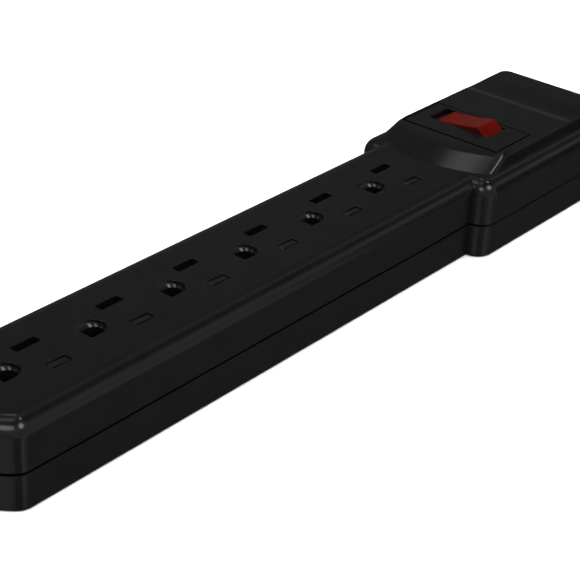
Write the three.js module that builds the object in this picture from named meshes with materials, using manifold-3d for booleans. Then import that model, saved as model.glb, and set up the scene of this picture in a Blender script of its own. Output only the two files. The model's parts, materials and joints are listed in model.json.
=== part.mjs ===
// Six-outlet power strip with a lighted rocker switch and a surge board.
// Millimetres, +Z up, +X towards the head that holds the switch. The origin is at the middle
// of the footprint, on the surface that the strip lies on.
import * as THREE from "three";
import { mergeVertices } from "three/addons/utils/BufferGeometryUtils.js";
import Module from "manifold-3d";

const wasm = await Module();
wasm.setup();

// ---------------------------------------------------------------- driving dimensions
const LENGTH = 291;
const BAR_HALF = 20.9; // half width of the bar that carries the outlets
const HEAD_HALF = 26.5; // half width of the head
const HEIGHT = 27;
const WALL = 2.4;
const TOP_FILLET = 5.3;
const END_BOW = 28; // plan radius of the bowed end
const CORNER = 5.5; // plan radius of the outer corners
const HEAD_STEP_X = 58.5;
const HEAD_STEP_RADIUS = 6;
const SEAM_LOW = 11.4;
const SEAM_HIGH = 12.1;
const TONGUE_HEIGHT = 2.2;
const TONGUE_INSET = 1.3;
const GAP = 0.3;

const X_MIN = -LENGTH / 2;
const X_MAX = LENGTH / 2;

// switch platform on the head: a block whose front is a long slope, bowed towards the outlets.
// Its other walls are steep below a 45 degree chamfer.
const PLATFORM_HEIGHT = 4.15;
const PLATFORM_TOP = HEIGHT + PLATFORM_HEIGHT;
const PLATFORM_HALF = 20.7;
const PLATFORM_BACK = 138.1;
const PLATFORM_CORNER = 3;
const PLATFORM_CHAMFER = 1;
const WALL_LEAN = 0.29; // how far a wall runs out for each millimetre down
const FRONT_LEAN = 2.37;
const FRONT_X = 68.8;
const PLATFORM_BOW = 35; // radius of the bowed front
const FRONT_CORNER = 1.6; // rounding in plan between the bowed front and a side wall

// a shallow hollow across the platform behind the switch, and the level strip after it
const HOLLOW = { start: 112.5, low: 117, end: 127.5, depth: 0.55 };
const STRIP_RISE = 0.2;

// outlets: slots run along X, the wide neutral slot on +Y
const OUTLETS = 6;
const PITCH = 31;
const OUTLET_MIDDLE = -32.9;
const SLOT_Y = 6.35;
const NEUTRAL_SLOT = { x: 8.6, y: 3.0 };
const HOT_SLOT = { x: 7.1, y: 3.1 };
const GROUND_X = -12;
const GROUND_HOLE = { radius: 2.7, flat: -3.2 };
const GROUND_RIM = { radius: 3.8, flat: -4.5, shift: -0.6 };
const GROUND_FUNNEL = 1.7; // depth of the sloping wall between rim and hole
const GROUND_COLLAR = { radius: 5.2, depth: 2 };

// spring-return flap under each hot slot
const FLAP_PIVOT = { x: -2.8, z: HEIGHT - 1.25 };
const FLAP_REST = THREE.MathUtils.degToRad(3);
const FLAP_TOP = 1.05; // above the pivot
const FLAP_WIDTH = 2.3;
const FLAP_PIN = { radius: 0.4, length: 4.6 };

// bus bars: flat strips with two-leaf clips, one strip to each pole
const STRIP_THICK = 0.8;
const BLADE_BAR = { z: 9, width: 5, gap: 1.7, top: 18.4, flare: 0.6 };
const GROUND_BAR = { z: 4.4, width: 4.8, gap: 5, top: 15, flare: 0.3 };
const CLIP_LENGTH = 5;
const CLIP_LEAF = 0.6;
const BAR_TAIL_X = 54;

// switch
const SWITCH = { x: 88, y: 2.6 };
const BEZEL = {
  x0: 74.9, x1: 94.5, y0: -17.9, y1: 19.2, thick: 1.6, corner: 0.6, gap: 0.65, frontGap: 1.05,
};
const ROCKER_OPENING = { x: 5.4, y: 12.1 };
const ROCKER_HALF_X = 5.1;
const ROCKER_PIVOT_Z = HEIGHT + 0.6;
const ROCKER_REST = THREE.MathUtils.degToRad(-8);
const ROCKER_PIN = { radius: 1.2, reach: 5.9, root: 4.5 };
const ROCKER_HOLLOW = { x: 4.1, y: 9.6, top: 2 };
const PLUNGER_GUIDE = { outer: 2.6, bore: 1.9, low: -6, top: 1.2 };
const SPRING = { radius: 1.25, wire: 0.25, low: -6, high: 0.4, turns: 5 };
const SWITCH_BODY = { x: 6.4, y: 13.4, z0: 10, z1: HEIGHT + 2, floor: 2 };
const PLUNGER_TIP = -11; // below the rocker's pivot
const LEVER = { z: 15.85, half: 8, width: 4, thick: 0.8 };
const LEVER_REST = THREE.MathUtils.degToRad(6);
const TERMINAL = { thick: 0.8, width: 4.8, foot: 4.5, padX: 1.8, padY: 1.4, hole: 0.8 };

// fasteners, keyholes, cord inlet and board
const SCREWS = [
  [-130, 0],
  [-32.9, 13.9],
  [-32.9, -13.9],
  [72, 19.6],
  [72, -19.6],
  [136, 17.5],
  [136, -17.5],
];
const SCREW = { head: 2.8, shaft: 1.45, headLow: 1, headHigh: 3.2, top: 20 };
const BOSS = { lower: 4, upper: 3.2, bore: 1.75 };
const KEYHOLES_X = [-105, 105];
const KEYHOLE = { y: 12, head: 4.4, neck: 2.2, reach: 8 };
const INLET = { bore: 4.6, body: 6.2, flange: 7.8, z: (SEAM_LOW + SEAM_HIGH) / 2 };
const BOARD = { x0: 98, x1: 130, half: 17, z: 8, thick: 1.6, holeInset: 3, hole: 1.2 };
const STANDOFF_RADIUS = 2;
const VARISTOR = { radius: 6, x: 110, thick: 4, pitch: 12.6 };
const FUSE = { radius: 2.2, half: 6, x: 120, y: -7 };
const BIMETAL = { x: 84.65, thick: 0.5, y0: -5, y1: 9, z0: 12.4, z1: 14.6 };
const LAMP = { radius: 1.4, half: 3.2, y: -6.2 };
const RESISTOR = { radius: 1, half: 2.7, y: 6.1 };
const WIRE_RADIUS = 1.2;

// ---------------------------------------------------------------- solids from three.js geometry
function solid(geometry) {
  const bare = geometry.index ? geometry.clone() : geometry;
  bare.deleteAttribute("normal");
  bare.deleteAttribute("uv");
  const merged = mergeVertices(bare, 1e-4);
  const made = new wasm.Manifold(
    new wasm.Mesh({
      numProp: 3,
      vertProperties: Float32Array.from(merged.attributes.position.array),
      triVerts: Uint32Array.from(merged.index.array),
    }),
  );
  return made;
}

function box(x0, x1, y0, y1, z0, z1) {
  const geometry = new THREE.BoxGeometry(x1 - x0, y1 - y0, z1 - z0);
  geometry.translate((x0 + x1) / 2, (y0 + y1) / 2, (z0 + z1) / 2);
  return solid(geometry);
}

// A cylinder along X, Y or Z between two points of that axis.
function cylinder(axis, radius, from, to, centre, segments = 16) {
  const geometry = new THREE.CylinderGeometry(radius, radius, to - from, segments);
  const middle = (from + to) / 2;
  if (axis === "z") {
    geometry.rotateX(Math.PI / 2);
    geometry.translate(centre[0], centre[1], middle);
  } else if (axis === "x") {
    geometry.rotateZ(Math.PI / 2);
    geometry.translate(middle, centre[0], centre[1]);
  } else {
    geometry.translate(centre[0], middle, centre[1]);
  }
  return solid(geometry);
}

function prism(points, z0, z1) {
  const shape = new THREE.Shape(points.map(([x, y]) => new THREE.Vector2(x, y)));
  const geometry = new THREE.ExtrudeGeometry(shape, { depth: z1 - z0, bevelEnabled: false });
  geometry.translate(0, 0, z0);
  return solid(geometry);
}

// An outline in Y and Z, extruded along X.
function prismAlongX(points, x0, x1) {
  const shape = new THREE.Shape(points.map(([y, z]) => new THREE.Vector2(y, z)));
  const geometry = new THREE.ExtrudeGeometry(shape, { depth: x1 - x0, bevelEnabled: false });
  const turn = new THREE.Matrix4().makeBasis(
    new THREE.Vector3(0, 1, 0),
    new THREE.Vector3(0, 0, 1),
    new THREE.Vector3(1, 0, 0),
  );
  geometry.applyMatrix4(turn);
  geometry.translate(x0, 0, 0);
  return solid(geometry);
}

function lathe(profile, segments = 20) {
  const points = profile.map(([r, z]) => new THREE.Vector2(r, z));
  const geometry = new THREE.LatheGeometry(points, segments);
  geometry.rotateX(Math.PI / 2);
  return solid(geometry);
}

function tube(points, radius, steps, sides = 8) {
  const curve = new THREE.CatmullRomCurve3(points.map((p) => new THREE.Vector3(...p)));
  const section = new THREE.Shape();
  section.absarc(0, 0, radius, 0, 2 * Math.PI);
  const geometry = new THREE.ExtrudeGeometry(section, {
    steps,
    curveSegments: sides / 2, // a full circle is drawn with twice this many
    extrudePath: curve,
    bevelEnabled: false,
  });
  return solid(geometry);
}

function arc(cx, cy, radius, fromDegrees, toDegrees, steps) {
  const points = [];
  for (let i = 0; i <= steps; i += 1) {
    const angle = THREE.MathUtils.degToRad(fromDegrees + ((toDegrees - fromDegrees) * i) / steps);
    points.push([cx + radius * Math.cos(angle), cy + radius * Math.sin(angle)]);
  }
  return points;
}

// Stacked rings become one closed body. Each ring holds the +Y half of an outline that is
// symmetric about the X axis, as [x, y, z] in order of rising x, and the caps are ladders
// between the two halves.
function loft(halves) {
  const rings = halves.map((half) => [
    ...half.map(([x, y, z]) => [x, -y, z]),
    ...half.slice().reverse(),
  ]);
  const count = rings[0].length;
  const positions = rings.flat(2);
  const index = [];
  for (let level = 0; level + 1 < rings.length; level += 1) {
    for (let i = 0; i < count; i += 1) {
      const a = level * count + i;
      const b = level * count + ((i + 1) % count);
      index.push(a, b, b + count, a, b + count, a + count);
    }
  }
  const last = (rings.length - 1) * count;
  for (let i = 0; i + 1 < count / 2; i += 1) {
    const near = i;
    const far = count - 1 - i;
    index.push(near, far, far - 1, near, far - 1, near + 1);
    index.push(last + near, last + near + 1, last + far - 1);
    index.push(last + near, last + far - 1, last + far);
  }
  const geometry = new THREE.BufferGeometry();
  geometry.setAttribute("position", new THREE.Float32BufferAttribute(positions, 3));
  geometry.setIndex(index);
  return solid(geometry);
}

// ---------------------------------------------------------------- the strip's outline
// The +Y half of the plan, moved inwards by inset.
function plan(inset) {
  const bowX = X_MIN + END_BOW;
  const cornerY = BAR_HALF - CORNER;
  const bowAngle = THREE.MathUtils.radToDeg(Math.asin(cornerY / (END_BOW - CORNER)));
  const cornerX = bowX - Math.sqrt((END_BOW - CORNER) ** 2 - cornerY ** 2);
  const stepY = HEAD_HALF - HEAD_STEP_RADIUS;
  const points = arc(bowX, 0, END_BOW - inset, 179.9, 180 - bowAngle, 6);
  points.push(...arc(cornerX, cornerY, CORNER - inset, 180 - bowAngle, 90, 4).slice(1));
  points.push([HEAD_STEP_X + inset, BAR_HALF - inset]);
  points.push(
    ...arc(HEAD_STEP_X + HEAD_STEP_RADIUS, stepY, HEAD_STEP_RADIUS - inset, 172, 90, 6),
  );
  const endX = X_MAX - CORNER;
  points.push(...arc(endX, HEAD_HALF - CORNER, CORNER - inset, 90, 0, 5));
  return points;
}

// One ring of the strip's outer or inner surface.
function level(inset, z) {
  return plan(inset).map(([x, y]) => [x, y, z]);
}

// ---------------------------------------------------------------- outlets
const outletXs = [];
for (let i = 0; i < OUTLETS; i += 1) {
  outletXs.push(OUTLET_MIDDLE + PITCH * (i - (OUTLETS - 1) / 2));
}

// The +Y half of a D outline, flat on the side away from the slots.
function groundHalf(x, z, { radius, flat, shift = 0 }) {
  const centreY = 0.02; // keeps the two halves apart
  return [
    [x + flat, centreY, z],
    [x + flat, radius, z],
    ...arc(x + shift, 0, radius, 90, 0.3, 6).map(([px, py]) => [px, py, z]),
  ];
}

function outletCuts(x) {
  const top = HEIGHT + 1;
  const bottom = HEIGHT - 8;
  const groundX = x + GROUND_X;
  const halfNeutral = [NEUTRAL_SLOT.x / 2, NEUTRAL_SLOT.y / 2];
  const halfHot = [HOT_SLOT.x / 2, HOT_SLOT.y / 2];
  const pivotX = x + FLAP_PIVOT.x;
  const pinRoom = FLAP_PIN.radius + GAP;
  const pinReach = FLAP_PIN.length / 2 + GAP;
  return [
    box(x - halfNeutral[0], x + halfNeutral[0], SLOT_Y - halfNeutral[1], SLOT_Y + halfNeutral[1],
      bottom, top),
    box(x - halfHot[0], x + halfHot[0], -SLOT_Y - halfHot[1], -SLOT_Y + halfHot[1], bottom, top),
    box(pivotX - pinRoom, pivotX + pinRoom, -SLOT_Y - pinReach, -SLOT_Y + pinReach,
      bottom, FLAP_PIVOT.z + pinRoom),
    loft([
      groundHalf(groundX, bottom, GROUND_HOLE),
      groundHalf(groundX, HEIGHT - GROUND_FUNNEL, GROUND_HOLE),
      groundHalf(groundX, HEIGHT, GROUND_RIM),
      groundHalf(groundX, top, GROUND_RIM),
    ]),
  ];
}

// Where the cord's bushing sits, in both shells.
function inletCut() {
  return cylinder("x", INLET.body + GAP, X_MAX - 6, X_MAX + 1, [0, INLET.z], 24);
}

// ---------------------------------------------------------------- upper housing
// How far the platform's top face stands above its level part, behind the switch.
function hollowRise(x) {
  const { start, low, end, depth } = HOLLOW;
  const drop = -depth * THREE.MathUtils.smoothstep(x, start, low);
  const along = THREE.MathUtils.clamp((x - low) / (end - low), 0, 1);
  return drop + (depth + STRIP_RISE) * along * along;
}

// The +Y half of the platform's plan where its walls are at height z.
function platformHalf(heightAt) {
  const runOut = (z) => {
    const down = PLATFORM_TOP - z;
    return Math.min(down, PLATFORM_CHAMFER) + Math.max(down - PLATFORM_CHAMFER, 0) * WALL_LEAN;
  };
  const frontZ = heightAt(FRONT_X);
  const front = FRONT_X - (PLATFORM_TOP - frontZ) * FRONT_LEAN;
  const frontHalf = PLATFORM_HALF + runOut(frontZ);
  const steps = 8;
  const centreY = 0.02; // keeps the two halves apart
  const points = [];
  const last = frontHalf - FRONT_CORNER;
  for (let i = 0; i <= steps; i += 1) {
    const y = centreY + ((last - centreY) * i) / steps;
    points.push([front + (y * y) / (2 * PLATFORM_BOW), y, frontZ]);
  }
  // a curve from the bow, by way of the corner, onto the side wall
  const begin = [front + (last * last) / (2 * PLATFORM_BOW), last];
  const tip = [begin[0] + (FRONT_CORNER * last) / PLATFORM_BOW, frontHalf];
  const finish = [tip[0] + FRONT_CORNER, frontHalf];
  const cornerSteps = 4;
  for (let i = 1; i <= cornerSteps; i += 1) {
    const t = i / cornerSteps;
    const [x, y] = [0, 1].map(
      (axis) => (1 - t) ** 2 * begin[axis] + 2 * t * (1 - t) * tip[axis] + t * t * finish[axis],
    );
    points.push([x, y, frontZ]);
  }
  const { start, low, end } = HOLLOW;
  for (let i = 0; i <= 8; i += 1) {
    const x = i < 4 ? start + ((low - start) * i) / 4 : low + ((end - low) * (i - 4)) / 4;
    const z = heightAt(x);
    points.push([x, PLATFORM_HALF + runOut(z), z]);
  }
  const backZ = heightAt(PLATFORM_BACK);
  const half = PLATFORM_HALF + runOut(backZ);
  const back = PLATFORM_BACK + runOut(backZ);
  const corner = arc(back - PLATFORM_CORNER, half - PLATFORM_CORNER, PLATFORM_CORNER, 90, 0, 4);
  points.push(...corner.map(([x, y]) => [x, y, backZ]));
  return points;
}

function upperHousing() {
  const rings = [level(0, SEAM_HIGH)];
  const filletSteps = 5;
  for (let i = 0; i <= filletSteps; i += 1) {
    const angle = (Math.PI / 2) * (i / filletSteps);
    const inset = TOP_FILLET * (1 - Math.cos(angle));
    rings.push(level(inset, HEIGHT - TOP_FILLET * (1 - Math.sin(angle))));
  }
  const root = HEIGHT - 1.2;
  const platform = loft([
    platformHalf(() => root),
    platformHalf(() => PLATFORM_TOP - PLATFORM_CHAMFER),
    platformHalf((x) => PLATFORM_TOP + hollowRise(x)),
  ]);
  let shell = loft(rings).add(platform);

  const ceiling = HEIGHT - WALL;
  shell = shell.subtract(loft([level(WALL, SEAM_HIGH - 1), level(WALL, ceiling)]));
  const rebateInset = TONGUE_INSET - GAP;
  const rebateTop = SEAM_LOW + TONGUE_HEIGHT + GAP;
  shell = shell.subtract(loft([level(rebateInset, SEAM_HIGH - 1), level(rebateInset, rebateTop)]));

  // room under the platform, recess for the bezel, and the way through for the switch
  const recessFloor = PLATFORM_TOP - BEZEL.thick - GAP;
  const room = { x0: 72, x1: 131, half: 17.5, top: recessFloor - 1.6 };
  shell = shell.subtract(box(room.x0, room.x1, -room.half, room.half, ceiling - 1, room.top));
  const { x0, x1, y0, y1, gap, frontGap } = BEZEL;
  shell = shell.subtract(
    box(x0 - frontGap, x1 + gap, y0 - gap, y1 + gap, recessFloor, PLATFORM_TOP + 1),
  );
  shell = shell.subtract(
    box(SWITCH.x - SWITCH_BODY.x - GAP, SWITCH.x + SWITCH_BODY.x + GAP,
      SWITCH.y - SWITCH_BODY.y - GAP, SWITCH.y + SWITCH_BODY.y + GAP, ceiling - 1, PLATFORM_TOP),
  );

  for (const x of outletXs) {
    const collarBottom = ceiling - GROUND_COLLAR.depth;
    const centre = [x + GROUND_X - 0.4, 0];
    shell = shell.add(cylinder("z", GROUND_COLLAR.radius, collarBottom, ceiling + 1, centre));
  }
  for (const [x, y] of SCREWS) {
    shell = shell.add(cylinder("z", BOSS.upper, SEAM_HIGH, ceiling + 0.5, [x, y], 14));
    shell = shell.subtract(cylinder("z", BOSS.bore, SEAM_HIGH - 1, SCREW.top + 1, [x, y], 12));
  }
  for (const x of outletXs) {
    for (const cut of outletCuts(x)) shell = shell.subtract(cut);
  }
  return shell.subtract(inletCut());
}

// ---------------------------------------------------------------- lower housing
function lowerHousing() {
  let shell = loft([
    level(0.65, 0),
    level(0.3, 0.2),
    level(0.15, 0.6),
    level(0.05, SEAM_LOW),
  ]);
  const tongueTop = SEAM_LOW + TONGUE_HEIGHT;
  shell = shell.add(loft([level(TONGUE_INSET, SEAM_LOW - 2), level(TONGUE_INSET, tongueTop)]));
  const floor = WALL;
  shell = shell.subtract(loft([level(WALL, floor), level(WALL, tongueTop + 1)]));

  // posts under the bus bars, between the outlets
  const bladePost = BLADE_BAR.width / 2 - 0.5;
  const groundPost = GROUND_BAR.width / 2 - 0.5;
  const halfPost = 1.2; // along X
  for (const x of outletXs.slice(0, -1)) {
    const middle = x + PITCH / 2;
    for (const y of [-SLOT_Y, SLOT_Y]) {
      shell = shell.add(
        box(middle - halfPost, middle + halfPost, y - bladePost, y + bladePost,
          floor - 1, BLADE_BAR.z - GAP),
      );
    }
    shell = shell.add(
      box(middle - halfPost, middle + halfPost, -groundPost, groundPost,
        floor - 1, GROUND_BAR.z - GAP),
    );
  }
  // standoffs under the board
  const standoffY = BOARD.half - BOARD.holeInset;
  for (const x of [BOARD.x0 + BOARD.holeInset, BOARD.x1 - BOARD.holeInset]) {
    for (const y of [-standoffY, standoffY]) {
      shell = shell.add(cylinder("z", STANDOFF_RADIUS, floor - 1, BOARD.z - GAP, [x, y], 10));
    }
  }
  // screw bosses with counterbores
  for (const [x, y] of SCREWS) {
    shell = shell.add(cylinder("z", BOSS.lower, floor - 1, SEAM_HIGH - GAP, [x, y], 16));
    shell = shell.subtract(cylinder("z", SCREW.head + GAP, -1, SCREW.headHigh + GAP, [x, y], 16));
    shell = shell.subtract(cylinder("z", SCREW.shaft + GAP, -1, SEAM_HIGH + 1, [x, y], 12));
  }
  // keyholes that hang the strip on two screw heads, necks towards the bowed end
  for (const x of KEYHOLES_X) {
    const { y, head, neck, reach } = KEYHOLE;
    const neckEnd = arc(x - reach, y, neck, 90, 270, 6);
    const headStart = x - Math.sqrt(head ** 2 - neck ** 2);
    const outline = [...neckEnd, [headStart, y - neck], [headStart, y + neck]];
    shell = shell.subtract(cylinder("z", head, -1, floor + 1, [x, y], 20));
    shell = shell.subtract(prism(outline, -1, floor + 1));
  }
  return shell.subtract(inletCut());
}

// ---------------------------------------------------------------- outlet hardware
// A strip along X with a two-leaf clip at each place.
function busBar({ z, width, gap, top, flare }, y, x0, x1, clipXs) {
  let bar = box(x0, x1, y - width / 2, y + width / 2, z, z + STRIP_THICK);
  const inner = gap / 2;
  const outer = inner + CLIP_LEAF;
  const waist = top - 2;
  const profile = [
    [-outer, z],
    [outer, z],
    [outer, waist],
    [outer + flare, top],
    [inner + flare, top],
    [inner, waist],
    [inner, z + STRIP_THICK],
    [-inner, z + STRIP_THICK],
    [-inner, waist],
    [-inner - flare, top],
    [-outer - flare, top],
    [-outer, waist],
  ].map(([dy, height]) => [y + dy, height]);
  for (const x of clipXs) {
    bar = bar.add(prismAlongX(profile, x - CLIP_LENGTH / 2, x + CLIP_LENGTH / 2));
  }
  return bar;
}

// The flap about its own pivot, level: its outline in X and Z, with a pin along Y.
function shutter() {
  const outline = [
    [-0.5, -0.4],
    [0.6, -0.5],
    [6.1, -0.1],
    [6.1, FLAP_TOP],
    [-0.3, FLAP_TOP],
    [-0.5, FLAP_TOP - 0.2],
  ];
  const shape = new THREE.Shape(outline.map(([x, z]) => new THREE.Vector2(x, z)));
  const geometry = new THREE.ExtrudeGeometry(shape, { depth: FLAP_WIDTH, bevelEnabled: false });
  geometry.rotateX(Math.PI / 2);
  geometry.translate(0, FLAP_WIDTH / 2, 0);
  const halfPin = FLAP_PIN.length / 2;
  return solid(geometry).add(cylinder("y", FLAP_PIN.radius, -halfPin, halfPin, [0, 0], 8));
}

// ---------------------------------------------------------------- switch
function bezel() {
  const { x0, x1, y0, y1, corner, thick } = BEZEL;
  const outline = [
    ...arc(x1 - corner, y1 - corner, corner, 0, 90, 3),
    ...arc(x0 + corner, y1 - corner, corner, 90, 180, 3),
    ...arc(x0 + corner, y0 + corner, corner, 180, 270, 3),
    ...arc(x1 - corner, y0 + corner, corner, 270, 360, 3),
  ];
  const plate = prism(outline, PLATFORM_TOP - thick, PLATFORM_TOP);
  return plate.subtract(
    box(SWITCH.x - ROCKER_OPENING.x, SWITCH.x + ROCKER_OPENING.x,
      SWITCH.y - ROCKER_OPENING.y, SWITCH.y + ROCKER_OPENING.y, HEIGHT, PLATFORM_TOP + 1),
  );
}

// The button about its own pivot, level. Its top is slightly dished between two ridges.
function rocker() {
  const ridge = 8.3;
  const topZ = 4.53;
  const dish = 0.35;
  const profile = [
    [-11, -3],
    [11, -3],
    [11.6, 1.1],
  ];
  for (let i = 0; i <= 8; i += 1) {
    const y = ridge * (1 - i / 4);
    profile.push([y, topZ - dish * (1 - (y / ridge) ** 2)]);
  }
  profile.push([-11.6, 1.1]);
  let button = prismAlongX(profile, -ROCKER_HALF_X, ROCKER_HALF_X);
  const { x, y, top: hollowTop } = ROCKER_HOLLOW;
  const { outer, bore, low, top: boreTop } = PLUNGER_GUIDE;
  button = button.subtract(box(-x, x, -y, y, low, hollowTop));
  button = button.add(cylinder("z", outer, low, hollowTop + 1, [0, 0], 16));
  button = button.subtract(cylinder("z", bore, low - 1, boreTop, [0, 0], 16));
  const { radius, root, reach } = ROCKER_PIN;
  for (const [from, to] of [[-reach, -root], [root, reach]]) {
    button = button.add(cylinder("x", radius, from, to, [0, 0], 16));
  }
  return button;
}

function plunger() {
  return lathe([
    [0, PLUNGER_TIP],
    [0.9, PLUNGER_TIP + 0.3],
    [1.5, PLUNGER_TIP + 1.2],
    [1.5, -6.6],
    [0.6, -6.6],
    [0.6, 0.4],
    [0, 0.4],
  ], 14);
}

function plungerSpring() {
  const { radius, wire, low, high, turns } = SPRING;
  const points = [];
  const pointsPerTurn = 8;
  const last = turns * pointsPerTurn;
  for (let i = 0; i <= last; i += 1) {
    const angle = (2 * Math.PI * i) / pointsPerTurn;
    const z = low + ((high - low) * i) / last;
    points.push([radius * Math.cos(angle), radius * Math.sin(angle), z]);
  }
  return tube(points, wire, turns * 10, 6);
}

function switchBody() {
  const { x: sx, y: sy } = SWITCH;
  const { x, y, z0, z1, floor } = SWITCH_BODY;
  let body = box(sx - x, sx + x, sy - y, sy + y, z0, z1);
  const roomY = 12.3;
  body = body.subtract(
    box(sx - ROCKER_OPENING.x, sx + ROCKER_OPENING.x, sy - roomY, sy + roomY, z0 + floor, z1 + 1),
  );
  const pinRoom = ROCKER_PIN.radius + GAP;
  const pinReach = ROCKER_PIN.reach + 0.2;
  body = body.subtract(
    cylinder("x", pinRoom, sx - pinReach, sx + pinReach, [sy, ROCKER_PIVOT_Z], 16),
  );
  for (const { y: at } of terminals()) {
    const halfThick = TERMINAL.thick / 2 + GAP;
    const halfWidth = TERMINAL.width / 2 + GAP;
    body = body.subtract(
      box(sx - halfThick, sx + halfThick, sy + at - halfWidth, sy + at + halfWidth,
        z0 - 1, z0 + floor + 1),
    );
  }
  return body;
}

// The three blades under the switch: name, place along Y from the switch's middle, top.
function terminals() {
  return [
    { name: "switch_terminal_neutral", y: -7, top: 13.4 },
    { name: "switch_terminal_line", y: 0, top: LEVER.z - LEVER.thick / 2 - 0.35 },
    { name: "switch_terminal_load", y: 7, top: 14.2 },
  ];
}

function terminal({ y, top }) {
  const { x: sx, y: sy } = SWITCH;
  const halfThick = TERMINAL.thick / 2;
  const halfWidth = TERMINAL.width / 2;
  const { padX, padY, foot } = TERMINAL;
  const blade = box(sx - halfThick, sx + halfThick, sy + y - halfWidth, sy + y + halfWidth,
    foot, top - 0.6);
  const pad = box(sx - padX, sx + padX, sy + y - padY, sy + y + padY, top - 1, top);
  const hole = cylinder("x", TERMINAL.hole, sx - 2, sx + 2, [sy + y, foot + 2], 10);
  return blade.add(pad).subtract(hole);
}

// The contact lever about its own pivot, level, with a dimple pad at its far end.
function contactLever() {
  const { half, width, thick } = LEVER;
  const plate = box(-width / 2, width / 2, -half, half, -thick / 2, thick / 2);
  const pad = cylinder("z", 1.3, -thick / 2 - 0.25, 0, [0, 6.6], 12);
  return plate.add(pad);
}

function capsule(radius, half) {
  const tip = radius * 0.7;
  return lathe([
    [0, -half],
    [radius * 0.6, -half + tip * 0.25],
    [radius, -half + tip],
    [radius, half - tip],
    [radius * 0.6, half - tip * 0.25],
    [0, half],
  ], 14);
}

// ---------------------------------------------------------------- surge board
function surgeBoard() {
  const { x0, x1, half, z, thick, holeInset, hole } = BOARD;
  let board = box(x0, x1, -half, half, z, z + thick);
  for (const y of [-half + holeInset, half - holeInset]) {
    board = board.subtract(cylinder("z", hole, z - 1, z + thick + 1, [x0 + holeInset, y], 10));
  }
  return board;
}

function varistor(y) {
  const { radius, x, thick } = VARISTOR;
  const z = BOARD.z + BOARD.thick + GAP + radius;
  return cylinder("x", radius, x - thick / 2, x + thick / 2, [y, z], 24);
}

function caseScrew() {
  const { head, shaft, headLow, headHigh, top } = SCREW;
  let screw = lathe([
    [0, headLow],
    [head * 0.8, headLow],
    [head, headLow + 0.5],
    [head, headHigh],
    [shaft, headHigh],
    [shaft, top - 1.5],
    [0, top],
  ], 12);
  for (const [x, y] of [[1.7, 0.35], [0.35, 1.7]]) {
    screw = screw.subtract(box(-x, x, -y, y, headLow - 1, headLow + 1.1));
  }
  return screw;
}

function inletBushing() {
  const { bore, body, flange } = INLET;
  const wallInner = X_MAX - WALL;
  const profile = [
    [bore, wallInner - 2.4],
    [flange, wallInner - 2.4],
    [flange, wallInner - 0.4],
    [body, wallInner - 0.4],
    [body, X_MAX - 0.2],
    [bore + 0.6, X_MAX - 0.2],
    [bore, X_MAX - 0.8],
    [bore, wallInner - 2.4],
  ];
  const points = profile.map(([r, x]) => new THREE.Vector2(r, x));
  const geometry = new THREE.LatheGeometry(points, 24);
  geometry.rotateZ(-Math.PI / 2);
  return solid(geometry);
}

// ---------------------------------------------------------------- materials
const finishes = {
  black_plastic: { color: 0x17171a, roughness: 0.42, metalness: 0 },
  black_insulator: { color: 0x202022, roughness: 0.6, metalness: 0 },
  grey_shutter: { color: 0x1d1d1f, roughness: 0.5, metalness: 0 },
  red_lens: { color: 0x8c100c, roughness: 0.25, metalness: 0 },
  brass: { color: 0xb5894a, roughness: 0.35, metalness: 1 },
  steel: { color: 0x9a9a9c, roughness: 0.35, metalness: 1 },
  glass: { color: 0xe8dcc8, roughness: 0.1, metalness: 0 },
  board_green: { color: 0x1c5a34, roughness: 0.5, metalness: 0 },
  varistor_blue: { color: 0x24427e, roughness: 0.45, metalness: 0 },
  resistor_tan: { color: 0xc2a070, roughness: 0.5, metalness: 0 },
  wire_black: { color: 0x141414, roughness: 0.5, metalness: 0 },
  wire_white: { color: 0xdedcd6, roughness: 0.5, metalness: 0 },
};

// ---------------------------------------------------------------- assembly
const strip = new THREE.Group();

function place(name, made, finish, position = [0, 0, 0], rotation = [0, 0, 0]) {
  const mesh = made.getMesh();
  const geometry = new THREE.BufferGeometry();
  geometry.setAttribute("position", new THREE.BufferAttribute(mesh.vertProperties, 3));
  geometry.setIndex(new THREE.BufferAttribute(mesh.triVerts, 1));
  const piece = new THREE.Mesh(geometry, new THREE.MeshStandardMaterial(finishes[finish]));
  piece.name = name;
  piece.position.set(...position);
  piece.rotation.set(...rotation);
  strip.add(piece);
}

place("upper_housing", upperHousing(), "black_plastic");
place("lower_housing", lowerHousing(), "black_plastic");
place("cord_inlet_bushing", inletBushing(), "black_insulator", [0, 0, INLET.z]);

const bladeStart = outletXs[0] - 4;
place("line_bus_bar", busBar(BLADE_BAR, -SLOT_Y, bladeStart, BAR_TAIL_X, outletXs), "brass");
place("neutral_bus_bar", busBar(BLADE_BAR, SLOT_Y, bladeStart, BAR_TAIL_X, outletXs), "brass");
const groundXs = outletXs.map((x) => x + GROUND_X);
place("ground_bus_bar", busBar(GROUND_BAR, 0, groundXs[0] - 3, BAR_TAIL_X, groundXs), "brass");

outletXs.forEach((x, i) => {
  const position = [x + FLAP_PIVOT.x, -SLOT_Y, FLAP_PIVOT.z];
  place(`slot_shutter_${i + 1}`, shutter(), "grey_shutter", position, [0, FLAP_REST, 0]);
});

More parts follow.
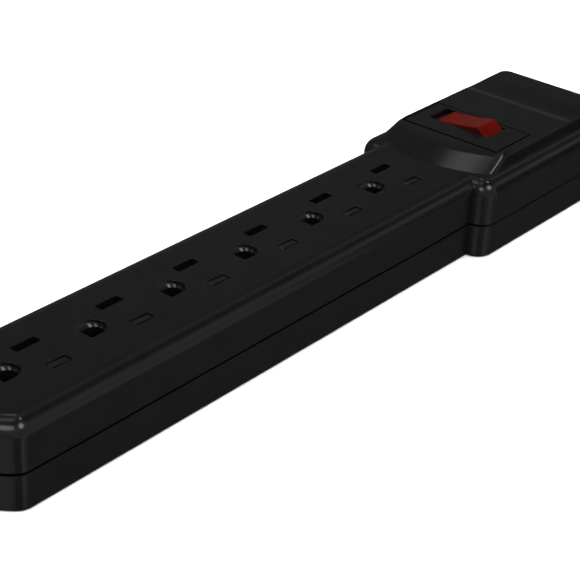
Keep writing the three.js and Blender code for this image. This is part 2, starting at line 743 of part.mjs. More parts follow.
const pivot = [SWITCH.x, SWITCH.y, ROCKER_PIVOT_Z];
const tilt = [ROCKER_REST, 0, 0];
place("switch_bezel", bezel(), "black_plastic");
place("switch_body", switchBody(), "black_insulator");
place("rocker_button", rocker(), "red_lens", pivot, tilt);
place("rocker_plunger", plunger(), "black_insulator", pivot, tilt);
place("plunger_spring", plungerSpring(), "steel", pivot, tilt);
place("contact_lever", contactLever(), "brass", [SWITCH.x, SWITCH.y, LEVER.z], [LEVER_REST, 0, 0]);
for (const one of terminals()) place(one.name, terminal(one), "brass");
const halfStrip = BIMETAL.thick / 2;
const bimetal = box(BIMETAL.x - halfStrip, BIMETAL.x + halfStrip, BIMETAL.y0, BIMETAL.y1,
  BIMETAL.z0, BIMETAL.z1);
place("breaker_bimetal", bimetal, "steel");

// the lamp and its resistor lie across the hollow button and tilt with it
function insideButton(name, made, finish, y) {
  const offset = new THREE.Vector3(0, y, 0).applyAxisAngle(new THREE.Vector3(1, 0, 0), ROCKER_REST);
  const at = [SWITCH.x, SWITCH.y + offset.y, ROCKER_PIVOT_Z + offset.z];
  place(name, made, finish, at, [0, Math.PI / 2, 0]);
}
insideButton("neon_lamp", capsule(LAMP.radius, LAMP.half), "glass", LAMP.y);
insideButton("lamp_resistor", capsule(RESISTOR.radius, RESISTOR.half), "resistor_tan", RESISTOR.y);

const loadWire = [
  [85.9, 9.6, 6.6],
  [82, 9.6, 6.2],
  [76, 7.5, 5.2],
  [69, 1.5, 4.6],
  [62, -4.8, 6.4],
  [57.5, -6.35, 9],
  [54.5, -6.35, 9.4],
];
const neutralWire = [
  [85.9, -4.4, 6.6],
  [82, -4.4, 7.2],
  [76, -2, 10.6],
  [69, 2.2, 12],
  [62, 5.6, 11.2],
  [57.5, 6.35, 9.6],
  [54.5, 6.35, 9.4],
];
place("line_link_wire", tube(loadWire, WIRE_RADIUS, 20), "wire_black");
place("neutral_link_wire", tube(neutralWire, WIRE_RADIUS, 20), "wire_white");

place("surge_board", surgeBoard(), "board_green");
place("varistor_line_neutral", varistor(-VARISTOR.pitch), "varistor_blue");
place("varistor_line_ground", varistor(0), "varistor_blue");
place("varistor_neutral_ground", varistor(VARISTOR.pitch), "varistor_blue");
const fuseAt = [FUSE.x, FUSE.y, BOARD.z + BOARD.thick + GAP + FUSE.radius];
const fuse = capsule(FUSE.radius, FUSE.half);
place("thermal_fuse", fuse, "resistor_tan", fuseAt, [Math.PI / 2, 0, 0]);

SCREWS.forEach(([x, y], i) => {
  place(`case_screw_${i + 1}`, caseScrew(), "steel", [x, y, 0]);
});

export default strip;
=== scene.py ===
"""Looks of a black power strip: six grounded outlets and a red rocker switch on a wider head.

Lengths are in millimetres until a mesh is made, where they become metres. +X runs towards the
head, +Y towards the neutral slots, +Z out of the outlet face.
"""

import json
import math

import bmesh
import bpy
from mathutils import Matrix, Vector


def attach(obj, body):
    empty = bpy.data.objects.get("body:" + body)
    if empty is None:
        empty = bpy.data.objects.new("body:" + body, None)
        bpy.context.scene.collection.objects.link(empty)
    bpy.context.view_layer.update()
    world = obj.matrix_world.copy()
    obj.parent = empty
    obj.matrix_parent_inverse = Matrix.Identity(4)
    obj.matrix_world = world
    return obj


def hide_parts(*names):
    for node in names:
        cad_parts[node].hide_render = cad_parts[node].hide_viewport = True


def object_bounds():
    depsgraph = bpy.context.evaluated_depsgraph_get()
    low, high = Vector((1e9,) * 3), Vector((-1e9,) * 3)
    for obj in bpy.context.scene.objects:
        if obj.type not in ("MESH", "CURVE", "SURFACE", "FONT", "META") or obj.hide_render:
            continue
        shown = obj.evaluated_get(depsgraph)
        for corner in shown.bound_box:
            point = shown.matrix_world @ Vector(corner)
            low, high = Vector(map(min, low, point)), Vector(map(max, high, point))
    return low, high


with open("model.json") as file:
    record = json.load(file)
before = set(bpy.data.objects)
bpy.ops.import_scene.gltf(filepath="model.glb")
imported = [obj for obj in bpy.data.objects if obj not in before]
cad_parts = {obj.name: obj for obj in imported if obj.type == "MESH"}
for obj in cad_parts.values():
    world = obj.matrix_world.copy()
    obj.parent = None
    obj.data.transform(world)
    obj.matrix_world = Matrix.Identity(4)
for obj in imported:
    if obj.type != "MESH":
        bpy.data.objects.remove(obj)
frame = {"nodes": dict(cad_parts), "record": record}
cad_low, cad_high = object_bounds()
MM = 0.001

# ---------------------------------------------------------------- sizes
# These are the CAD part's, apart from the seam's sag, the platform's front corner, the fit of the
# flaps and the finer rounding of edges.
X_MIN = cad_low.x / MM
X_MAX = cad_high.x / MM
BAR_HALF = 20.9
HEAD_HALF = 26.5
HEIGHT = 27.0
WALL = 2.4
TOP_FILLET = 5.3
END_BOW = 28.0
CORNER = 5.5
HEAD_STEP_X = 58.5
HEAD_STEP_RADIUS = 6.0
SEAM_LOW = 11.4
SEAM_HIGH = 12.1
SEAM_ROUND = 0.3
SEAM_SAG = 0.25
END_SAG = 0.6  # more at the bowed end
END_SAG_X = (-152.0, -120.0)  # stretch over which it fades
HEAD_SEAM_SAG = 0.4  # of the upper shell alone, which makes the seam finer round the head
HEAD_SAG_X = (57.0, 62.0)
TONGUE_HEIGHT = 2.2
TONGUE_INSET = 1.3
GAP = 0.3

PLATFORM_TOP = HEIGHT + 4.15
PLATFORM_HALF = 20.7
PLATFORM_BACK = 138.1
PLATFORM_CORNER = 3.0
PLATFORM_CHAMFER = 1.0
WALL_LEAN = 0.29  # how far a wall runs out for each millimetre down
FRONT_LEAN = 2.37
FRONT_X = 68.8
PLATFORM_BOW = 35.0
PLATFORM_EDGE = 0.2
PLATFORM_FRONT_CORNER = 2.8  # rounding in plan between the bowed front and a side wall
FOOT_ROUND = 0.15  # hollow rounding where the platform meets the top face

HOLLOW = (112.5, 117.0, 127.5)  # start, lowest place and end, along X
HOLLOW_DEPTH = 0.55
STRIP_RISE = 0.2

OUTLET_XS = [-110.4, -79.4, -48.4, -17.4, 13.6, 44.6]
SLOT_Y = 6.35
NEUTRAL_HALF = (4.3, 1.5)
HOT_HALF = (3.55, 1.55)
GROUND_X = -12.0
GROUND_HOLE = (2.7, -3.2, 0.0)  # radius, flat side, centre of the round side
GROUND_RIM = (3.8, -4.5, -0.6)
GROUND_FUNNEL = 1.7  # depth of the sloping wall between rim and hole
GROUND_COLLAR = (5.2, 2.0)  # radius, depth
LIP = 0.22  # rounding of moulded edges
FLAP_PIVOT = (-2.8, HEIGHT - 1.25)
FLAP_REST = math.radians(3)
FLAP_TOP = 1.14  # above the pivot
FLAP_SLACK = 0.25  # wider gap along one long edge of a flap
FLAP_WIDTH = 2.3
FLAP_PIN = (0.4, 2.3)  # radius, half length

SWITCH = (88.0, 2.6)
BEZEL = (74.9, 94.5, -17.9, 19.2)  # low and high X, low and high Y
BEZEL_GAP = 0.65
BEZEL_FRONT_GAP = 1.05
BEZEL_THICK = 1.6
BEZEL_CORNER = 0.6
GROOVE_LIP = 0.07
ROCKER_OPENING = (5.4, 12.1)
ROCKER_HALF_X = 5.1
ROCKER_PIVOT_Z = HEIGHT + 0.6
ROCKER_REST = math.radians(-8)
SWITCH_BODY = (6.4, 13.4)

SCREWS = [(-130, 0), (-32.9, 13.9), (-32.9, -13.9), (72, 19.6), (72, -19.6), (136, 17.5), (136, -17.5)]
BOSS_RADIUS = 4.0
SCREW_WELL = (3.1, 3.5)  # radius, depth
SCREW_HOLE = 1.75
KEYHOLES_X = (-105.0, 105.0)
KEYHOLE_Y = 12.0
KEYHOLE_HEAD = 4.4
KEYHOLE_NECK = 2.2
KEYHOLE_REACH = 8.0
INLET_RADIUS = 6.2
INLET_Z = (SEAM_LOW + SEAM_HIGH) / 2

# ---------------------------------------------------------------- camera
CAMERA_AZIMUTH = math.radians(-51.666)
CAMERA_ELEVATION = math.radians(28.895)
CAMERA_ROLL = math.radians(2.997)
CAMERA_DISTANCE = 0.544
CAMERA_TARGET = Vector((-0.000538, 0.005471, 0.0))
CAMERA_LENS = 107.56


def make_camera():
    a, e, r = CAMERA_AZIMUTH, CAMERA_ELEVATION, CAMERA_ROLL
    back = Vector((math.sin(a) * math.cos(e), -math.cos(a) * math.cos(e), math.sin(e)))
    right = Vector((0, 0, 1)).cross(back).normalized()
    up = back.cross(right)
    side = math.cos(r) * right + math.sin(r) * up
    top = -math.sin(r) * right + math.cos(r) * up
    data = bpy.data.cameras.new("camera")
    data.lens = CAMERA_LENS
    data.sensor_width = 36
    data.clip_start = 0.01
    data.clip_end = 50
    camera = bpy.data.objects.new("camera", data)
    bpy.context.scene.collection.objects.link(camera)
    turn = Matrix((side, top, back)).transposed().to_4x4()
    camera.matrix_world = Matrix.Translation(CAMERA_TARGET + back * CAMERA_DISTANCE) @ turn
    bpy.context.scene.camera = camera


# ---------------------------------------------------------------- mesh helpers
def mesh_object(name, points, faces):
    """A new object from points in millimetres."""
    data = bpy.data.meshes.new(name)
    data.from_pydata([Vector(p) * MM for p in points], [], faces)
    made = bpy.data.objects.new(name, data)
    bpy.context.scene.collection.objects.link(made)
    return made


def arc(cx, cy, radius, start, end, steps):
    """Points along an arc, with its ends given in degrees."""
    angles = [math.radians(start + (end - start) * i / steps) for i in range(steps + 1)]
    return [(cx + radius * math.cos(t), cy + radius * math.sin(t)) for t in angles]


def side_faces(rings):
    """Faces between stacked rings of equal count."""
    count = len(rings[0])
    faces = []
    for row in range(len(rings) - 1):
        for i in range(count):
            a = row * count + i
            b = row * count + (i + 1) % count
            faces.append((a, b, b + count, a + count))
    return faces


def closed_loft(name, rings):
    """Stacked rings of equal count, each a counterclockwise list of 3-D points, capped at both ends."""
    count = len(rings[0])
    points = [p for ring in rings for p in ring]
    faces = side_faces(rings)
    last = (len(rings) - 1) * count
    faces.append(tuple(reversed(range(count))))
    faces.append(tuple(last + i for i in range(count)))
    return mesh_object(name, points, faces)


def half_loft(name, halves):
    """Like closed_loft, from the +Y half of each outline in order of rising X. The caps are ladders
    between the two halves, so that a cap may rise and fall along X."""
    rings = [[(x, -y, z) for x, y, z in half] + list(reversed(half)) for half in halves]
    count = len(rings[0])
    points = [p for ring in rings for p in ring]
    faces = side_faces(rings)
    last = (len(rings) - 1) * count
    for near in range(count // 2 - 1):
        far = count - 1 - near
        faces.append((near, far, far - 1, near + 1))
        faces.append((last + near, last + near + 1, last + far - 1, last + far))
    return mesh_object(name, points, faces)


def prism(name, outline, low, high):
    return closed_loft(name, [[(x, y, z) for x, y in outline] for z in (low, high)])


def block(name, x0, x1, y0, y1, low, high):
    return prism(name, [(x0, y0), (x1, y0), (x1, y1), (x0, y1)], low, high)


def flared(name, outline, low, face, lip=LIP):
    """A cutter whose outline(grow) opens out in a quarter round where it meets the face."""
    rings = [[(x, y, low) for x, y in outline(0)]]
    steps = 4
    for i in range(steps + 1):
        t = math.radians(86) * i / steps
        grown = outline(lip * (1 - math.cos(t)))
        rings.append([(x, y, face - lip + lip * math.sin(t)) for x, y in grown])
    rings.append([(x, y, face + 1) for x, y in outline(lip)])
    return closed_loft(name, rings)


def rounded_rectangle(x0, x1, y0, y1, radius, grow=0.0, steps=5):
    r = radius + grow
    corners = [
        (x1 - radius, y1 - radius, 0),
        (x0 + radius, y1 - radius, 90),
        (x0 + radius, y0 + radius, 180),
        (x1 - radius, y0 + radius, 270),
    ]
    return [p for cx, cy, start in corners for p in arc(cx, cy, r, start, start + 90, steps)]


def combine(base, others, operation):
    """Cuts the other solids from the base, or joins them to it, and removes them."""
    for other in others:
        step = base.modifiers.new("step", "BOOLEAN")
        step.object = other
        step.operation = operation
        step.solver = "MANIFOLD"
    shaped = base.evaluated_get(bpy.context.evaluated_depsgraph_get())
    data = bpy.data.meshes.new_from_object(shaped)
    base.modifiers.clear()
    base.data = data
    for other in others:
        bpy.data.objects.remove(other)
    return base


def cut(base, *others):
    return combine(base, others, "DIFFERENCE")


def join(base, *others):
    return combine(base, others, "UNION")


def bevelled(piece, width, segments, limit):
    """Rounds the edges that turn by more than the limit in degrees."""
    edges = piece.modifiers.new("edges", "BEVEL")
    edges.width = width * MM
    edges.segments = segments
    edges.limit_method = "ANGLE"
    edges.angle_limit = math.radians(limit)
    return combine(piece, [], "UNION")


FLAT = math.cos(math.radians(0.4))
SOFT = math.cos(math.radians(33))


def smooth(piece):
    """Smooth normals across soft edges. A large flat area keeps its own normal up to its border."""
    data = piece.data
    bm = bmesh.new()
    bm.from_mesh(data)
    bmesh.ops.remove_doubles(bm, verts=bm.verts, dist=2e-7)
    bmesh.ops.dissolve_degenerate(bm, edges=bm.edges, dist=1e-7)
    bm.faces.ensure_lookup_table()
    bm.faces.index_update()
    group = [-1] * len(bm.faces)
    areas = []
    for seed in bm.faces:
        if group[seed.index] >= 0:
            continue
        mark = len(areas)
        group[seed.index] = mark
        total = 0.0
        waiting = [seed]
        while waiting:
            face = waiting.pop()
            total += face.calc_area()
            for edge in face.edges:
                for other in edge.link_faces:
                    if group[other.index] < 0 and other.normal.dot(seed.normal) > FLAT:
                        group[other.index] = mark
                        waiting.append(other)
        areas.append(total)
    for face in bm.faces:
        face.smooth = True
    normals = []
    for face in bm.faces:
        for loop in face.loops:
            reached = {face}
            waiting = [face]
            while waiting:
                here = waiting.pop()
                for edge in here.edges:
                    if loop.vert not in edge.verts:
                        continue
                    for other in edge.link_faces:
                        if other not in reached and other.normal.dot(here.normal) > SOFT:
                            reached.add(other)
                            waiting.append(other)
            total = Vector()
            for mark in {group[f.index] for f in reached}:
                members = [f for f in reached if group[f.index] == mark]
                mean = sum((f.normal * (f.calc_area() + 1e-12) for f in members), Vector())
                total += mean.normalized() * areas[mark]
            normals.append(total.normalized())
    bm.to_mesh(data)
    bm.free()
    data.normals_split_custom_set(normals)
    data.update()
    return piece


def finish_piece(piece, body, replaced, material):
    smooth(piece)
    piece.data.materials.clear()
    piece.data.materials.append(material)
    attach(piece, body)
    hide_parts(replaced)


def turned(piece, pivot, matrix):
    """Turns the piece's mesh, made about its own pivot, and puts it in place."""
    piece.data.transform(Matrix.Translation(Vector(pivot) * MM) @ matrix)
    return piece


# ---------------------------------------------------------------- materials
def new_material(name):
    material = bpy.data.materials.new(name)
    material.use_nodes = True
    tree = material.node_tree
    shader = tree.nodes["Principled BSDF"]
    return material, tree, shader


def noise(tree, scale, detail=3.0, stretch=(1, 1, 1)):
    """Noise in the object's own space. The scale is in features per metre."""
    place = tree.nodes.new("ShaderNodeTexCoord")
    mapping = tree.nodes.new("ShaderNodeMapping")
    mapping.inputs["Scale"].default_value = stretch
    tree.links.new(place.outputs["Object"], mapping.inputs["Vector"])
    texture = tree.nodes.new("ShaderNodeTexNoise")
    texture.inputs["Scale"].default_value = scale
    texture.inputs["Detail"].default_value = detail
    tree.links.new(mapping.outputs["Vector"], texture.inputs["Vector"])
    return texture.outputs["Fac"]


def ranged(tree, source, low, high):
    node = tree.nodes.new("ShaderNodeMapRange")
    node.inputs["From Min"].default_value = 0.3
    node.inputs["From Max"].default_value = 0.7
    node.inputs["To Min"].default_value = low
    node.inputs["To Max"].default_value = high
    tree.links.new(source, node.inputs["Value"])
    return node.outputs["Result"]


def colour_between(tree, source, dark, light):
    ramp = tree.nodes.new("ShaderNodeValToRGB")
    ramp.color_ramp.elements[0].position = 0.3
    ramp.color_ramp.elements[1].position = 0.7
    ramp.color_ramp.elements[0].color = (*dark, 1)
    ramp.color_ramp.elements[1].color = (*light, 1)
    tree.links.new(source, ramp.inputs["Fac"])
    return ramp.outputs["Color"]


def bump(tree, shader, source, depth):
    node = tree.nodes.new("ShaderNodeBump")
    node.inputs["Strength"].default_value = 1.0
    node.inputs["Distance"].default_value = depth
    tree.links.new(source, node.inputs["Height"])
    tree.links.new(node.outputs["Normal"], shader.inputs["Normal"])


def surface(name, dark, light, rough, grain, depth, metallic=0.0, specular=0.5, patches=90,
            stretch=(1, 1, 1)):
    """A moulded or plated surface: soft patches of tone and gloss, and a fine grain in relief."""
    material, tree, shader = new_material(name)
    soft = noise(tree, patches, 4.0)
    tree.links.new(colour_between(tree, soft, dark, light), shader.inputs["Base Color"])
    fine = noise(tree, grain, 2.0, stretch)
    tree.links.new(ranged(tree, soft, *rough), shader.inputs["Roughness"])
    bump(tree, shader, fine, depth)
    shader.inputs["Metallic"].default_value = metallic
    shader.inputs["Specular IOR Level"].default_value = specular
    return material


def lens_material():
    """Clear red plastic over a pale button: deep colour inside, a gloss on top."""
    material = surface("red_lens", (0.047, 0.0018, 0.0007), (0.062, 0.0025, 0.001), (0.16, 0.24),
                       3000, 0.000004, specular=0.13)
    shader = material.node_tree.nodes["Principled BSDF"]
    shader.inputs["Subsurface Weight"].default_value = 0.15
    shader.inputs["Subsurface Radius"].default_value = (1.0, 0.12, 0.08)
    shader.inputs["Subsurface Scale"].default_value = 0.002
    return material


def glass_material():
    material, tree, shader = new_material("lamp_glass")
    cloud = noise(tree, 900)
    tree.links.new(ranged(tree, cloud, 0.03, 0.09), shader.inputs["Roughness"])
    shader.inputs["Base Color"].default_value = (0.95, 0.85, 0.75, 1)
    shader.inputs["Transmission Weight"].default_value = 1.0
    return material


SHELL_DARK = (0.0027, 0.0027, 0.0029)
SHELL_LIGHT = (0.0035, 0.0035, 0.0037)
materials = {
    "black_plastic": surface("black_plastic", SHELL_DARK, SHELL_LIGHT, (0.18, 0.22), 2600, 0.000002),
    "black_insulator": surface("black_insulator", (0.010, 0.010, 0.011), (0.014, 0.014, 0.015),
                               (0.5, 0.62), 1800, 0.00001),
    "grey_shutter": surface("grey_shutter", (0.0032, 0.0032, 0.0034), (0.004, 0.004, 0.0042),
                            (0.24, 0.3), 2200, 0.000003),
    "red_lens": lens_material(),
    "brass": surface("brass", (0.62, 0.42, 0.17), (0.72, 0.52, 0.25), (0.26, 0.42), 700, 0.000006,
                     metallic=1.0, stretch=(0.08, 1, 1)),
    "steel": surface("steel", (0.48, 0.48, 0.49), (0.62, 0.62, 0.60), (0.25, 0.42), 1200, 0.000005,
                     metallic=1.0),
    "glass": glass_material(),
    "board_green": surface("board_green", (0.012, 0.085, 0.03), (0.02, 0.12, 0.045), (0.3, 0.42),
                           500, 0.00002, patches=220),
    "varistor_blue": surface("varistor_blue", (0.012, 0.045, 0.2), (0.02, 0.065, 0.27), (0.2, 0.35),
                             420, 0.00006),
    "resistor_tan": surface("resistor_tan", (0.5, 0.33, 0.15), (0.6, 0.42, 0.2), (0.3, 0.45), 900,
                            0.00001),
    "wire_black": surface("wire_black", (0.008, 0.008, 0.008), (0.014, 0.014, 0.014), (0.35, 0.5),
                          1500, 0.00001),
    "wire_white": surface("wire_white", (0.62, 0.6, 0.55), (0.7, 0.69, 0.64), (0.35, 0.5), 1500,
                          0.00001),
}


# ---------------------------------------------------------------- the strip's outline
def smoothstep(x, low, high):
    t = min(max((x - low) / (high - low), 0.0), 1.0)
    return t * t * (3 - 2 * t)


def plan(inset):
    """The +Y half of the strip's outline, moved inwards by inset, in order of rising X."""
    bow_x = X_MIN + END_BOW
    corner_y = BAR_HALF - CORNER
    bow_angle = math.degrees(math.asin(corner_y / (END_BOW - CORNER)))
    corner_x = bow_x - math.sqrt((END_BOW - CORNER) ** 2 - corner_y**2)
    step_y = HEAD_HALF - HEAD_STEP_RADIUS
    points = arc(bow_x, 0, END_BOW - inset, 179.95, 180 - bow_angle, 26)
    points += arc(corner_x, corner_y, CORNER - inset, 180 - bow_angle, 90, 12)[1:]
    points.append((HEAD_STEP_X + inset, BAR_HALF - inset))
    points += arc(HEAD_STEP_X + HEAD_STEP_RADIUS, step_y, HEAD_STEP_RADIUS - inset, 172, 90, 16)
    points += arc(X_MAX - CORNER, HEAD_HALF - CORNER, CORNER - inset, 90, 0, 14)
    return points


def level(inset, z):
    return [(x, y, z) for x, y in plan(inset)]


# ---------------------------------------------------------------- upper shell
def ground_outline(x, sizes, grow=0.0):
    radius, flat, shift = sizes
    r = radius + grow
    nick = 0.35
    near = [(x + flat - grow, -r + nick), (x + flat - grow + 0.3 * nick, -r + 0.3 * nick),
            (x + flat - grow + nick, -r)]
    far = [(px, -py) for px, py in reversed(near)]
    return near + arc(x + shift, 0, r, -90, 90, 24) + far


def outlet_cutters(x):
    bottom = HEIGHT - 8
    ground_x = x + GROUND_X
    hx, hy = NEUTRAL_HALF
    neutral = flared(
        "neutral_slot",
        lambda grow: rounded_rectangle(x - hx, x + hx, SLOT_Y - hy, SLOT_Y + hy, 0.25, grow),
        bottom, HEIGHT)
    ux, uy = HOT_HALF
    hot = flared(
        "hot_slot",
        lambda grow: rounded_rectangle(x - ux, x + ux, -SLOT_Y - uy, -SLOT_Y + uy, 0.25, grow),
        bottom, HEIGHT)
    return [neutral, hot, ground_cutter(ground_x)]


def ground_cutter(x):
    """The D-shaped hole with a funnel above it, whose wall steepens on its way down."""
    def ring(grow, z, share=0.0):
        sizes = [low + (high - low) * share for low, high in zip(GROUND_HOLE, GROUND_RIM)]
        return [(px, py, z) for px, py in ground_outline(x, sizes, grow)]

    floor = HEIGHT - GROUND_FUNNEL
    rings = [ring(0, HEIGHT - 8), ring(0, floor - LIP)]
    rings += [ring(LIP * 0.3, floor - LIP * 0.3)]
    steps = 8
    for i in range(steps + 1):
        share = i / steps
        bulge = 0.16 * math.sin(math.pi * share)
        rings.append(ring(bulge + LIP * 0.6, floor + (GROUND_FUNNEL - LIP * 0.3) * share, share))
    rings.append(ring(LIP, HEIGHT, 1.0))
    rings.append(ring(LIP, HEIGHT + 1, 1.0))
    return closed_loft("ground", rings)


def hollow_rise(x):
    """How far the platform's top face stands above its level part, behind the switch."""
    start, low, end = HOLLOW
    along = min(max((x - low) / (end - low), 0.0), 1.0)
    return (HOLLOW_DEPTH + STRIP_RISE) * along * along - HOLLOW_DEPTH * smoothstep(x, start, low)


def platform_half(height_at, flare=0.0):
    """The +Y half of the platform's plan where its walls are at a height, moved outwards by flare."""
    def run_out(z):
        down = PLATFORM_TOP - z
        steep = max(down - PLATFORM_CHAMFER, 0.0)
        return min(down, PLATFORM_CHAMFER) + steep * WALL_LEAN + flare

    front_z = height_at(FRONT_X)
    front = FRONT_X - (PLATFORM_TOP - front_z) * FRONT_LEAN - flare
    front_half = PLATFORM_HALF + run_out(front_z)
    steps = 40
    centre = 0.02  # keeps the two halves apart
    last = front_half - PLATFORM_FRONT_CORNER
    points = []
    for i in range(steps + 1):
        y = centre + (last - centre) * i / steps
        points.append((front + y * y / (2 * PLATFORM_BOW), y, front_z))
    # a curve from the bow, by way of the corner, onto the side wall
    begin = (front + last * last / (2 * PLATFORM_BOW), last)
    tip = (begin[0] + PLATFORM_FRONT_CORNER * last / PLATFORM_BOW, front_half)
    finish = (tip[0] + PLATFORM_FRONT_CORNER, front_half)
    corner_steps = 12
    for i in range(1, corner_steps + 1):
        t = i / corner_steps
        shares = ((1 - t) ** 2, 2 * t * (1 - t), t * t)
        x, y = (sum(k * at[axis] for k, at in zip(shares, (begin, tip, finish))) for axis in (0, 1))
        points.append((x, y, front_z))
    start, low, end = HOLLOW
    falling = [start + (low - start) * i / 12 for i in range(12)]
    rising = [low + (end - low) * i / 20 for i in range(21)]
    for x in falling + rising:
        z = height_at(x)
        points.append((x, PLATFORM_HALF + run_out(z), z))
    back_z = height_at(PLATFORM_BACK)
    corner_x = PLATFORM_BACK + run_out(back_z) - PLATFORM_CORNER
    corner_y = PLATFORM_HALF + run_out(back_z) - PLATFORM_CORNER
    corner = arc(corner_x, corner_y, PLATFORM_CORNER, 90, 0, 12)
    return points + [(x, y, back_z) for x, y in corner]


def platform():
    halves = [platform_half(lambda x: HEIGHT - 1.2, FOOT_ROUND)]
    for degrees in (75, 55, 35, 15, 0):
        t = math.radians(degrees)
        foot = HEIGHT + FOOT_ROUND * (1 - math.sin(t))
        halves.append(platform_half(lambda x, z=foot: z, FOOT_ROUND * (1 - math.cos(t))))
    halves.append(platform_half(lambda x: PLATFORM_TOP - PLATFORM_CHAMFER))
    halves.append(platform_half(lambda x: PLATFORM_TOP + hollow_rise(x)))
    return bevelled(half_loft("platform", halves), PLATFORM_EDGE, 3, 26)


def seam_level(inset, z, head_sag=0.0):
    """A ring near the seam, which sinks a little along the bar and more at its bowed end."""
    ring = []
    for x, y in plan(inset):
        sag = SEAM_SAG + END_SAG * (1 - smoothstep(x, *END_SAG_X))
        ring.append((x, y, z - sag - head_sag * smoothstep(x, *HEAD_SAG_X)))
    return ring


def upper_shell():
    rings = []
    for degrees in (0, 30, 60, 90):
        t = math.radians(degrees)
        rise = SEAM_ROUND * (1 - math.cos(t))
        rings.append(seam_level(SEAM_ROUND * (1 - math.sin(t)), SEAM_HIGH + rise, HEAD_SEAM_SAG))
    steps = 18
    for i in range(steps + 1):
        t = math.radians(90) * i / steps
        inset = TOP_FILLET * (1 - math.cos(t))
        rings.append(level(inset, HEIGHT - TOP_FILLET * (1 - math.sin(t))))
    shell = half_loft("upper_shell", rings)
    join(shell, platform())

    ceiling = HEIGHT - WALL
    cavity = half_loft("cavity", [level(WALL, SEAM_LOW - 2), level(WALL, ceiling)])
    rebate = half_loft("rebate", [
        level(TONGUE_INSET - GAP, SEAM_LOW - 2),
        level(TONGUE_INSET - GAP, SEAM_LOW + TONGUE_HEIGHT + GAP),
    ])
    cut(shell, cavity, rebate)

    x0, x1, y0, y1 = BEZEL
    gap = BEZEL_GAP
    recess_floor = PLATFORM_TOP - BEZEL_THICK - GAP
    sides = (x0 - BEZEL_FRONT_GAP, x1 + gap, y0 - gap, y1 + gap)
    recess = flared(
        "recess",
        lambda grow: rounded_rectangle(*sides, BEZEL_CORNER, grow),
        recess_floor, PLATFORM_TOP, GROOVE_LIP)
    bx, by = SWITCH_BODY
    sx, sy = SWITCH
    way = block("way", sx - bx - GAP, sx + bx + GAP, sy - by - GAP, sy + by + GAP,
                ceiling - 1, PLATFORM_TOP - 1)
    cut(shell, recess, way)

    collars = []
    for x in OUTLET_XS:
        radius, depth = GROUND_COLLAR
        centre = x + GROUND_X - 0.4
        ring = arc(centre, 0, radius, 0, 352, 44)
        collars.append(prism("collar", ring, ceiling - depth, ceiling + 1))
    join(shell, *collars)
    cutters = [c for x in OUTLET_XS for c in outlet_cutters(x)]
    cut(shell, *cutters)
    cut(shell, inlet_cutter())
    return shell


def inlet_cutter():
    """Where the cord's bushing sits, in both shells."""
    radius = INLET_RADIUS + GAP
    ring = arc(0, INLET_Z, radius, 0, 355, 71)
    rings = [[(x, y, z) for y, z in ring] for x in (X_MAX - 6, X_MAX + 1)]
    return closed_loft("inlet", rings)


# ---------------------------------------------------------------- lower shell
def lower_shell():
    edge = [(0.03, -0.25), (0.08, -0.1), (0.25, 0)]
    shell = half_loft("lower_shell", [
        level(0.65, 0),
        level(0.4, 0.08),
        level(0.22, 0.28),
        level(0.12, 0.6),
        *[seam_level(inset, SEAM_LOW + drop) for inset, drop in edge],
    ])
    join(shell, half_loft("tongue", [
        level(TONGUE_INSET, SEAM_LOW - 2),
        level(TONGUE_INSET, SEAM_LOW + TONGUE_HEIGHT),
    ]))
    room_top = SEAM_LOW + TONGUE_HEIGHT + 1
    cut(shell, half_loft("room", [level(WALL, WALL), level(WALL, room_top)]))
    bosses = [prism("boss", arc(x, y, BOSS_RADIUS, 0, 350, 35), WALL - 1, SEAM_HIGH - GAP)
              for x, y in SCREWS]
    join(shell, *bosses)
    cutters = []
    well_radius, well_depth = SCREW_WELL
    for x, y in SCREWS:
        cutters.append(prism("well", arc(x, y, well_radius, 0, 350, 35), -1, well_depth))
        cutters.append(prism("screw_hole", arc(x, y, SCREW_HOLE, 0, 345, 23), -1, SEAM_HIGH + 1))
    for x in KEYHOLES_X:
        neck_start = x - math.sqrt(KEYHOLE_HEAD**2 - KEYHOLE_NECK**2)
        outline = arc(x - KEYHOLE_REACH, KEYHOLE_Y, KEYHOLE_NECK, 90, 270, 12)
        outline += [(neck_start, KEYHOLE_Y - KEYHOLE_NECK), (neck_start, KEYHOLE_Y + KEYHOLE_NECK)]
        cutters.append(prism("keyhole_neck", outline, -1, WALL + 1))
        cutters.append(prism("keyhole_head", arc(x, KEYHOLE_Y, KEYHOLE_HEAD, 0, 351, 39), -1, WALL + 1))
    cutters.append(inlet_cutter())
    return cut(shell, *cutters)


# ---------------------------------------------------------------- switch
def bezel():
    x0, x1, y0, y1 = BEZEL
    low = PLATFORM_TOP - BEZEL_THICK
    round_edge = GROOVE_LIP
    rings = [[(x, y, low) for x, y in rounded_rectangle(x0, x1, y0, y1, BEZEL_CORNER)]]
    for i in range(5):
        t = math.radians(90) * i / 4
        inset = round_edge * (1 - math.cos(t))
        z = PLATFORM_TOP - round_edge + round_edge * math.sin(t)
        rings.append([(x, y, z) for x, y in rounded_rectangle(x0, x1, y0, y1, BEZEL_CORNER, -inset)])
    plate = closed_loft("bezel_plate", rings)
    sx, sy = SWITCH
    ox, oy = ROCKER_OPENING
    opening = flared(
        "opening",
        lambda grow: rounded_rectangle(sx - ox, sx + ox, sy - oy, sy + oy, 0.3, grow),
        HEIGHT, PLATFORM_TOP, 0.2)
    return cut(plate, opening)


